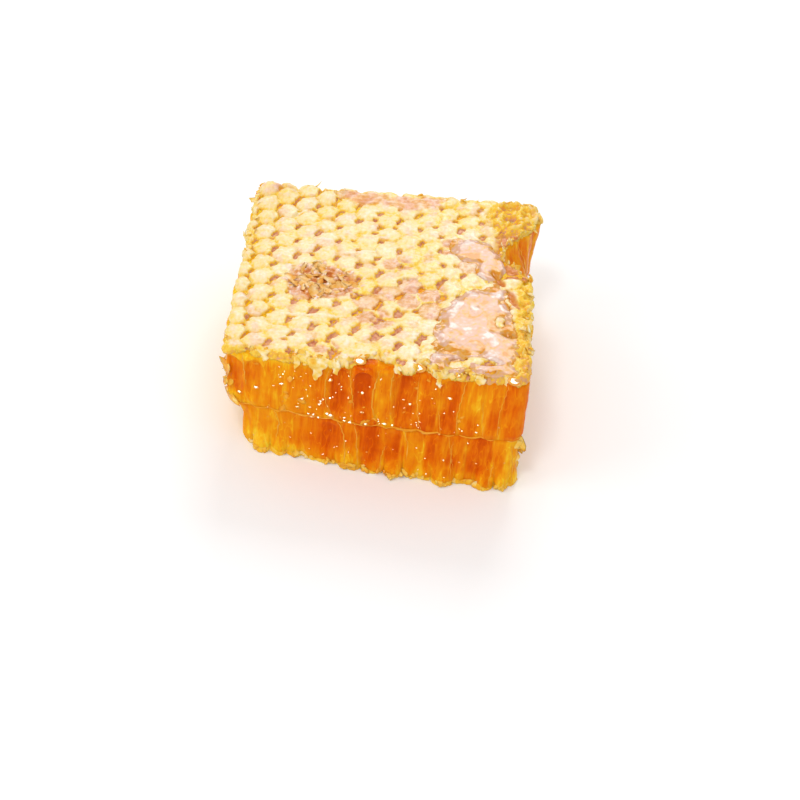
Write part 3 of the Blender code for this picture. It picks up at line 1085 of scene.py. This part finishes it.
def waxWalls(name, grid, facts, seed):
    chance = random.Random(seed)
    sliver = modelWall(walls["steps"])
    model = pointsOf(sliver)
    along = (model[:, 2] + 1) / 2
    slivers = []
    rows = len(grid) - 1
    for fact in facts:
        if chance.random() > flutes[fact["start"]] * 0.9:
            continue
        fromFoot = chance.random() < 0.6
        low, high = (0.0, chance.uniform(0.3, 1.0)) if fromFoot else (chance.uniform(0.2, 0.5), 1.0)
        if chance.random() < 0.35:
            low, high = 0.0, 1.0
        v = low + (high - low) * along
        drift = 2.2 * np.sin(v * chance.uniform(2, 5) + chance.uniform(0, 6))
        column = (fact["start"] + np.round(drift).astype(int)) % ringCount
        nearest, lower = (np.clip(pick(v * rows).astype(int), 0, rows) for pick in (np.round, np.floor))
        upper = np.clip(np.floor(v * rows).astype(int) + 1, 0, rows)
        slope = v * rows - np.floor(v * rows)
        place = grid[nearest, column]
        place[:, 2] = grid[lower, column][:, 2] * (1 - slope) + grid[upper, column][:, 2] * slope
        out = outward[fact["start"]]
        side = np.array([-out[1], out[0]])
        thin = np.sin(np.pi * np.clip(along, 0.02, 0.98)) ** 0.4
        size = chance.uniform(0.6, 1.3)
        sideways = model[:, :1] * side * walls["width"] * size
        standing = (model[:, 1:2] + 0.2) * out * walls["height"] * size
        place[:, :2] += (sideways + standing) * thin[:, None] * mm
        copy = copyOf(sliver, "sliver")
        movePoints(copy, place)
        slivers.append(copy)
    bpy.data.objects.remove(sliver)
    return joinInto(name, slivers)


def finishWax(obj, look, slotName, middle, spread, size, seed, node=None, **values):
    # crown wanders around its middle value, in blotches of the given size in mm
    crown = middle + spread * ripple(pointsOf(obj), size * mm, seed)
    finishPiece(obj, look, slotName, node, crown=crown, **values)


upperWalls = waxWalls("upperWaxWalls", upperGrid, upperFacts, 14)
lowerWalls = waxWalls("lowerWaxWalls", lowerGrid, lowerFacts, 15)
for obj in (upperWalls, lowerWalls):
    finishWax(obj, ribWaxLook, "wax_midrib", 0.5, 0.4, 1.5, 25, stain=0.0, wet=0.9)


# crumbs and flakes of torn wax
crumbs = {
    "edgeCount": 230,
    "size": (0.22, 1.05),  # mm
    "crushedCount": 44,
    "sideCount": 46,
    "footCount": 120,
    # larger flakes along the foot: place, size
    "footFlakes": ((-4.5, 0.7), (-2.4, 0.9), (0.2, 0.8), (-16, 0.7), (20, 0.8), (24.5, 0.8), (30, 0.7)),
    "cornerCount": 9,
    "shredCount": 26,
    # flaps over the cut front: place, width, length
    "tongues": (
        (-12.2, 3.4, 4.6),
        (-8.6, 2.0, 2.6),
        (13.2, 2.2, 3.6),
        (10.6, 1.6, 2.0),
        (-16.5, 1.8, 2.4),
        (22.0, 2.4, 1.8),
        (27.8, 2.0, 1.9),
        (4.5, 1.6, 1.5),
        (-23.5, 2.2, 1.6),
    ),
    "seed": 33,
}


def modelCrumb():
    deselectAll()
    bpy.ops.mesh.primitive_ico_sphere_add(subdivisions=2, radius=1)
    return bpy.context.object


def tippedOut(k, chance, tipX, tipY, low, high):
    # the outward direction at an outline point, tipped at random
    x = chance.uniform(-tipX, tipX)
    y = chance.uniform(-tipY, tipY) if tipY else 0
    return (Vector((*outward[k], 0)) + Vector((x, y, chance.uniform(low, high)))).normalized()


def onSide(grid, share, k, out):
    # a place on a cut side, at a share of its height, out from it by some mm
    return grid[int(share * (len(grid) - 1)), k] + out * mm * np.append(outward[k], 0)


def frontPoint(edge, x):
    # the outline point nearest to a place along the front
    return int(np.argmin(np.hypot(edge[:, 0] - x * mm, edge[:, 1] + 29 * mm)))


def frontIndex(share):
    # the outline point part of the way along the front
    return int(share * ringCount * 64 / 250) % ringCount


def scatteredCrumbs(name, spots, seed):
    # spots: place, size, flatness and the direction that its flat side faces
    chance = random.Random(seed)
    crumb = modelCrumb()
    model = pointsOf(crumb)
    made = []
    for place, size, flatness, faces in spots:
        turned = faces.to_track_quat("Z", "Y").to_matrix() @ Matrix.Rotation(chance.uniform(0, 6.28), 3, "Z")
        lumps = 1 + 0.75 * ripple(model * mm, 0.8 * mm, chance.uniform(0, 40))
        longer = 1.5 if flatness < 0.13 else 1.0
        sizes = [size * chance.uniform(0.7, 1.6) * longer, size * chance.uniform(0.6, 1.2), size * flatness]
        local = model * lumps[:, None] * np.array(sizes)
        local[:, 2] += 0.35 * size * (local[:, 0] / size) ** 2 * chance.uniform(-1, 1)
        copy = copyOf(crumb, "crumb")
        placed = local @ np.array(turned).T * mm + np.array(place)
        placed[:, 2] = np.maximum(placed[:, 2], 0.05 * mm)
        movePoints(copy, placed)
        made.append(copy)
    bpy.data.objects.remove(crumb)
    return joinInto(name, made)


def edgeSpots():
    # crumbs along the torn edge: most at the front and the right
    chance = random.Random(crumbs["seed"])
    spots = []
    while len(spots) < crumbs["edgeCount"]:
        k = chance.randrange(ringCount)
        weight = 0.9 * facing["front"][k] + 0.75 * facing["right"][k]
        weight = weight + 0.35 * facing["back"][k] + 0.30 * facing["left"][k]
        if chance.random() > weight:
            continue
        out = Vector((*outward[k], 0))
        x, y = capEdge[k]
        if facing["front"][k] > 0.5 and -5 * mm < x < 6.5 * mm and chance.random() < 0.7:
            continue
        inward = chance.uniform(0.0, 1.4) * mm
        drop = chance.uniform(0.6, 2.1) * mm if inward < 0.4 * mm else chance.uniform(0.7, 1.0) * mm
        place = (x - out.x * inward, y - out.y * inward, float(topAt(x)) - drop)
        faces = tippedOut(k, chance, 0.6, 0.6, 0.1, 1.4)
        low, high = crumbs["size"]
        smaller = 0.5 if x < -19 * mm and y < 0 else 1.0
        size = (low + (high - low) * chance.random() ** 1.8) * smaller
        spots.append((place, size, chance.uniform(0.08, 0.35), faces))
    return spots


def sideSpots():
    # shreds of cell wall that stick to the left side
    chance = random.Random(crumbs["seed"] + 3)
    spots = []
    for _ in range(crumbs["sideCount"]):
        k = chance.choice(leftFront)
        row = int(chance.uniform(0.02, 0.75) ** 1.2 * (len(upperGrid) - 1))
        place = upperGrid[row, k] - 0.05 * mm * np.append(outward[k], 0)
        faces = tippedOut(k, chance, 0.4, 0.4, 0, 0.6)
        spots.append((place, chance.uniform(0.35, 1.3), chance.uniform(0.06, 0.2), faces))
    return spots


def footSpots():
    # crumbs and flakes along the foot, and a few up the front right corner
    chance = random.Random(crumbs["seed"] + 4)
    spots = []
    edge = outlineAt(0.03)

    def footPlace(k, out, height):
        return edge[k][0] + outward[k][0] * out * mm, edge[k][1] + outward[k][1] * out * mm, height * mm

    while len(spots) < crumbs["footCount"]:
        k = chance.randrange(ringCount)
        if chance.random() > facing["front"][k] + 0.25:
            continue
        size = chance.uniform(0.2, 0.65)
        out = 0.2 + footLobes[k] * (0.5 + 0.5 * facing["front"][k])
        place = footPlace(k, out, size + chance.uniform(0.0, 0.9))
        faces = tippedOut(k, chance, 0.5, 0.5, 0.2, 1.2)
        spots.append((place, size, chance.uniform(0.1, 0.3), faces))
    cornerCells = [k for k in range(ringCount) if facing["right"][k] > 0.3 and outline[k][1] < -23 * mm]
    for _ in range(crumbs["cornerCount"]):
        k = chance.choice(cornerCells)
        place = lowerGrid[int(chance.uniform(0.45, 0.98) * (len(lowerGrid) - 1)), k]
        faces = Vector((outward[k][0] * 0.5, -1.0, chance.uniform(0.1, 0.7)))
        spots.append((place, chance.uniform(0.5, 1.4), chance.uniform(0.1, 0.2), faces))
    for x, size in crumbs["footFlakes"]:
        k = frontPoint(edge, x)
        place = footPlace(k, 0.3 + footLobes[k], 0.3 + size * 0.7)
        spots.append((place, size, 0.2, Vector((chance.uniform(-0.2, 0.2), -1.0, 0.25))))
    return spots


def shredSpots():
    # bits of cell wall that lie flat on the cut honey at the front
    chance = random.Random(crumbs["seed"] + 5)
    spots = []
    for _ in range(crumbs["shredCount"]):
        k = frontIndex(0.40 + chance.gauss(0, 0.26))
        v = chance.choice((chance.uniform(0.02, 0.3), chance.uniform(0.1, 0.98)))
        place = onSide(upperGrid, v, k, 0.02)
        faces = tippedOut(k, chance, 0.3, 0, -0.1, 0.5)
        spots.append((place, chance.uniform(0.2, 0.7), chance.uniform(0.06, 0.12), faces))
    return spots


def crushedSpots():
    # flakes that lie loose in the crushed patch
    chance = random.Random(crumbs["seed"] + 1)
    middleX, middleY, halfX, halfY = capping["crushed"]
    spots = []
    for _ in range(crumbs["crushedCount"]):
        turn, reach = chance.uniform(0, 6.28), chance.random() ** 0.6
        x = (middleX + halfX * 0.9 * reach * math.cos(turn)) * mm
        y = (middleY + halfY * 0.9 * reach * math.sin(turn)) * mm
        faces = Vector((chance.uniform(-0.45, 0.45), chance.uniform(-0.6, 0.3), 1)).normalized()
        place = (x, y, float(topAt(x)) - 0.85 * mm)
        spots.append((place, chance.uniform(0.4, 1.2), chance.uniform(0.05, 0.09), faces))
    return spots


leftFront = [k for k in range(ringCount) if facing["left"][k] > 0.5 and outline[k][1] < -14 * mm]
edgeCrumbs = scatteredCrumbs("tornWaxCrumbs", edgeSpots() + sideSpots(), 34)
places = pointsOf(edgeCrumbs)
edgeCrown = 0.60 + 0.6 * ripple(places, 2.2 * mm, 81) + 0.3 * ripple(places, 0.8 * mm, 84)
edgeCrown -= 0.30 * frontGold(places[:, 0], places[:, 1])
finishPiece(edgeCrumbs, crumbWaxLook, "wax_capping", crown=edgeCrown, stain=0.0, wet=0.6)
footCrumbs = scatteredCrumbs("footWaxCrumbs", footSpots(), 36)
finishWax(footCrumbs, crumbWaxLook, "wax_lower_capping", 0.42, 0.6, 2.0, 85, stain=0.0, wet=0.7)
shreds = scatteredCrumbs("cellWallShreds", shredSpots(), 37)
finishWax(shreds, ribWaxLook, "wax_midrib", 0.15, 0.7, 1.6, 86, stain=0.0, wet=1.0)
crushedFlakes = scatteredCrumbs("crushedWaxFlakes", crushedSpots(), 35)
finishWax(crushedFlakes, crumbWaxLook, "wax_capping", 0.44, 0.7, 1.3, 82, stain=0.55, wet=0.2)


def waxTongues():
    # flaps of wax that hang over the cut front
    chance = random.Random(crumbs["seed"] + 2)
    made = []
    for x, width, length in crumbs["tongues"]:
        deselectAll()
        bpy.ops.mesh.primitive_grid_add(x_subdivisions=12, y_subdivisions=16, size=1)
        tongue = bpy.context.object
        local = pointsOf(tongue)
        s, t = local[:, 0] * 2, local[:, 1] + 0.5  # across, -1 to 1, and along from its root
        taper = np.clip(1 - t**2.2, 0.04, 1) ** 0.8 * (1 + 0.30 * np.sin(t * 8 + x))
        root = capEdge[frontPoint(capEdge, x)]
        swing = chance.uniform(-0.5, 0.5)
        place = np.zeros_like(local)
        place[:, 0] = root[0] + (s * width / 2 * taper + swing * t * length * 0.4) * mm
        place[:, 1] = root[1] + (0.6 - 0.75 * smooth(0, 0.25, t) - 0.25 * smooth(0.4, 1.0, t)) * mm
        place[:, 2] = float(topAt(root[0])) - (0.75 + 0.5 * t**1.5 + t * length) * mm
        wrinkle = 0.30 * ripple(place, 1.2 * mm, 90 + x) + 0.14 * ripple(place, 0.5 * mm, 91 + x)
        place[:, 1] -= wrinkle * mm
        place[:, 0] += (0.45 * ripple(place, 1.0 * mm, 92 + x) + 0.25 * ripple(place, 0.5 * mm, 93 + x)) * mm
        place[:, 2] += 0.55 * t * ripple(place, 0.8 * mm, 94 + x) * mm
        movePoints(tongue, place)
        applyModifier(tongue, "SOLIDIFY", thickness=0.34 * mm, offset=0.0)
        made.append(tongue)
    whole = joinInto("hangingWaxFlaps", made)
    makeActive(whole)
    bpy.ops.object.mode_set(mode="EDIT")
    faceOutwards()
    return whole


finishWax(waxTongues(), crumbWaxLook, "wax_capping", 0.66, 0.6, 1.3, 83, stain=0.0, wet=0.6)


# drops of honey: small ones on the cut front, larger ones at the torn edge
drops = {
    "count": 160,
    "large": 43,  # the rest are tiny
    "edge": ((-2.8, 0.9), (9.5, 1.0), (30.2, 1.1), (17.5, 0.6)),  # place, size
    "flatTop": 0.35,
}


def dropFacing(place, chance):
    # the flat top of a drop on the cut face catches the lamp
    tilt = place[0] / mm / 400
    return Vector((-0.10 - tilt + chance.uniform(-0.05, 0.05), -0.73 + chance.uniform(-0.06, 0.06), 1.0))


def dropSpots():
    chance = random.Random(57)
    spots = []
    for number in range(drops["count"]):
        tiny = number >= drops["large"]
        v = chance.uniform(0.02, 0.9) ** (1.3 if tiny else 1.6)
        k = frontIndex(0.42 + chance.gauss(0, 0.30 if tiny else 0.17))
        grid = lowerGrid if tiny and chance.random() < 0.3 else upperGrid
        place = onSide(grid, v, k, 0.05)
        if tiny:
            size = chance.uniform(0.07, 0.17)
        else:
            size = chance.uniform(0.16, 0.66) * (0.5 + 0.5 * chance.random())
        spots.append((place, size, 0.45, dropFacing(place, chance)))
    for x, size in drops["edge"]:
        root = capEdge[frontPoint(capEdge, x)]
        place = (root[0], root[1] + 0.3 * mm, float(topAt(root[0])) - 1.0 * mm)
        spots.append((place, size, 0.4, dropFacing(place, chance)))
    return spots


def honeyDrops():
    chance = random.Random(58)
    drop = modelCrumb()
    model = pointsOf(drop)
    made = []
    for place, size, flatness, faces in dropSpots():
        turned = faces.to_track_quat("Z", "Y").to_matrix()
        local = model.copy()
        if flatness < 0.5:
            local[:, 2] = np.minimum(local[:, 2], drops["flatTop"])
        local = local * np.array([size * chance.uniform(0.8, 2.0), size, size * flatness])
        copy = copyOf(drop, "drop")
        movePoints(copy, local @ np.array(turned).T * mm + np.array(place))
        made.append(copy)
    bpy.data.objects.remove(drop)
    return joinInto("honeyDrops", made)


finishPiece(honeyDrops(), dropHoney, "honey_upper_cells", tone=0.5)


# the midrib: a thin wavy sheet of wax between the layers, broken in places at the cut
midrib = {
    "profile": (-9.0, -0.3, 0.10, 0.18, 0.10, -0.3, -9.0),  # mm out from the cut, from below to above
    "lift": (-0.3, -1.0, -0.6, 0.0, 0.6, 1.0, 0.3),  # in half thicknesses
    "lobe": 0.30,  # mm
    "zigzag": 0.45,
    "thickness": 0.11,
}


def midribSheet():
    sheet, ring, level = ringBlock("midribWax", ringCount // 2, len(midrib["profile"]) - 1)
    edge = outlineAt(piece["midribShare"])[::2]
    direction = outward[::2]
    flat = flatPoints(edge[:, 0], edge[:, 1])
    _, across, _ = stripsOf(comb["upper"], 0.5)
    zigzag = midrib["zigzag"] * (np.abs(2 * across[::2] - 1) - 0.5)
    wave = zigzag + 0.35 * ripple(flat, 5 * mm, 21) + 0.15 * ripple(flat, 1.5 * mm, 24)
    lobe = arc(across[::2]) ** 0.6 * midrib["lobe"]
    stand = -0.02 + 0.50 * ripple(flat, 2.2 * mm, 22)  # below 0 it hides in the honey
    thick = midrib["thickness"] + 0.08 * ripple(flat, 1.7 * mm, 23)
    profile, lift = np.array(midrib["profile"]), np.array(midrib["lift"])
    buried = profile[level] < -1
    out = lobe[ring] + stand[ring] + np.maximum(profile[level], -1)
    places = np.zeros((len(level), 3))
    places[:, :2] = edge[ring] + direction[ring] * (out * mm)[:, None]
    places[:, :2] *= np.where(buried, 0.82, 1.0)[:, None]
    rise = lift[level] * thick[ring] + np.where(buried, 0.0, wave[ring])
    places[:, 2] = midribAt(places[:, 0]) + rise * mm
    movePoints(sheet, places)
    return sheet


finishWax(midribSheet(), ribWaxLook, "wax_midrib", 0.45, 0.4, 1.8, 25, node="midrib", stain=0.0, wet=1.0)


# the lower capping: yellow, scalloped by its cells and flat underneath
baseCapping = {
    "profile": (-9.0, -0.25, 0.05, 0.12, 0.10, 0.0, -0.25, -0.7, -9.0),  # mm out, from below to above
    "lift": (0.0, 0.0, 0.10, 0.35, 0.65, 0.95, 1.25, 1.5, 1.5),  # mm
    "lobe": 0.25,
    "torn": 0.4,
}


def lowerCapping():
    sheet, ring, level = ringBlock("lowerCappingWax", ringCount, len(baseCapping["profile"]) - 1)
    edge = outlineAt(0.02)
    flat = flatPoints(edge[:, 0], edge[:, 1])
    _, across, _ = stripsOf(comb["lower"], 0.1)
    lobe = arc(across) ** 0.6 * baseCapping["lobe"]
    ragged = 0.25 * ripple(flat, 2.0 * mm, 31) + 0.28 * ripple(flat, 0.9 * mm, 32)
    ragged = ragged + 0.18 * ripple(flat, 0.45 * mm, 33)
    torn = baseCapping["torn"] * smooth(0.15, 0.5, ripple(flat, 3.0 * mm, 36))
    profile, lift = np.array(baseCapping["profile"]), np.array(baseCapping["lift"])
    buried = profile[level] < -1
    out = lobe[ring] + ragged[ring] - torn[ring] + np.maximum(profile[level], -1)
    out += footLobes[ring] * (0.5 + 0.5 * facing["front"][ring])
    places = np.zeros((len(level), 3))
    places[:, :2] = edge[ring] + outward[ring] * (out * mm)[:, None]
    places[:, :2] *= np.where(buried, 0.85, 1.0)[:, None]
    rise = 1 + 0.45 * ripple(flat, 1.6 * mm, 34)[ring]
    places[:, 2] = lift[level] * np.where(level > 1, rise, 1.0) * mm
    movePoints(sheet, places)
    return sheet


lowerCap = lowerCapping()
places = pointsOf(lowerCap)
baseCrown = 0.40 + 0.35 * ripple(places, 1.6 * mm, 35) + 0.30 * smooth(0.6, 0.0, places[:, 2] / mm)
painted = {"crown": baseCrown, "stain": 0.0, "wet": 0.8}
finishPiece(lowerCap, baseWaxLook, "wax_lower_capping", "capping_bottom", **painted)


def studio():
    deselectAll()
    bpy.ops.mesh.primitive_plane_add(size=6.0, location=(0, 0, -0.02 * mm))
    floor = bpy.context.object
    floor.name = "floor"
    paper, tree, shader = newMaterial("white_paper_sweep")
    setShader(shader, {"Base Color": linearColour("#FDFDFD"), "Roughness": 0.9, "Specular IOR Level": 0.1})
    floor.data.materials.append(paper)
    world = bpy.data.worlds.new("studio")
    bpy.context.scene.world = world
    world.use_nodes = True
    setShader(world.node_tree.nodes["Background"], {"Color": (1, 1, 1, 1), "Strength": 0.66})
    for name, place, size, power in (
        ("backSoftbox", (0.02, 0.42, 0.40), 0.24, 1.0),
        ("leftSoftbox", (-0.50, -0.20, 0.42), 0.30, 0.7),
        ("frontSoftbox", (0.20, -0.62, 0.30), 0.20, 0.3),
        ("glintLamp", (-0.12, -0.30, 0.60), 0.12, 0.8),
    ):
        light = bpy.data.lights.new(name, "AREA")
        light.shape = "SQUARE"
        light.size = size
        light.energy = power
        lamp = bpy.data.objects.new(name, light)
        bpy.context.collection.objects.link(lamp)
        lamp.location = place
        lamp.rotation_euler = (Vector((0, 0, 0.015)) - Vector(place)).to_track_quat("-Z", "Y").to_euler()
    bpy.context.scene.view_settings.view_transform = "Standard"


view = {
    "tilt": math.radians(42.93),
    "turn": math.radians(-0.94),
    "roll": math.radians(6.22),
    "slide": (-3.7 * mm, 16.7 * mm),
    "distance": 411.2 * mm,
    "aim": Vector((0.06 * mm, 1.3 * mm, 14 * mm)),
    "lens": 81.0,
}


def addCamera():
    tilt, turn, roll = view["tilt"], view["turn"], view["roll"]
    forward = Vector((math.sin(turn) * math.cos(tilt), math.cos(turn) * math.cos(tilt), -math.sin(tilt)))
    right = Vector((math.cos(turn), -math.sin(turn), 0))
    up = right.cross(forward)
    right, up = math.cos(roll) * right + math.sin(roll) * up, math.cos(roll) * up - math.sin(roll) * right
    camera = bpy.data.cameras.new("camera")
    camera.lens = view["lens"]
    camera.sensor_width = 36
    camera.clip_start = 0.01
    holder = bpy.data.objects.new("camera", camera)
    bpy.context.collection.objects.link(holder)
    place = view["aim"] - forward * view["distance"] - right * view["slide"][0] - up * view["slide"][1]
    rows = [(right[k], up[k], -forward[k], place[k]) for k in range(3)]
    holder.matrix_world = Matrix(rows + [(0, 0, 0, 1)])
    bpy.context.scene.camera = holder


studio()
addCamera()
print("scene ready")
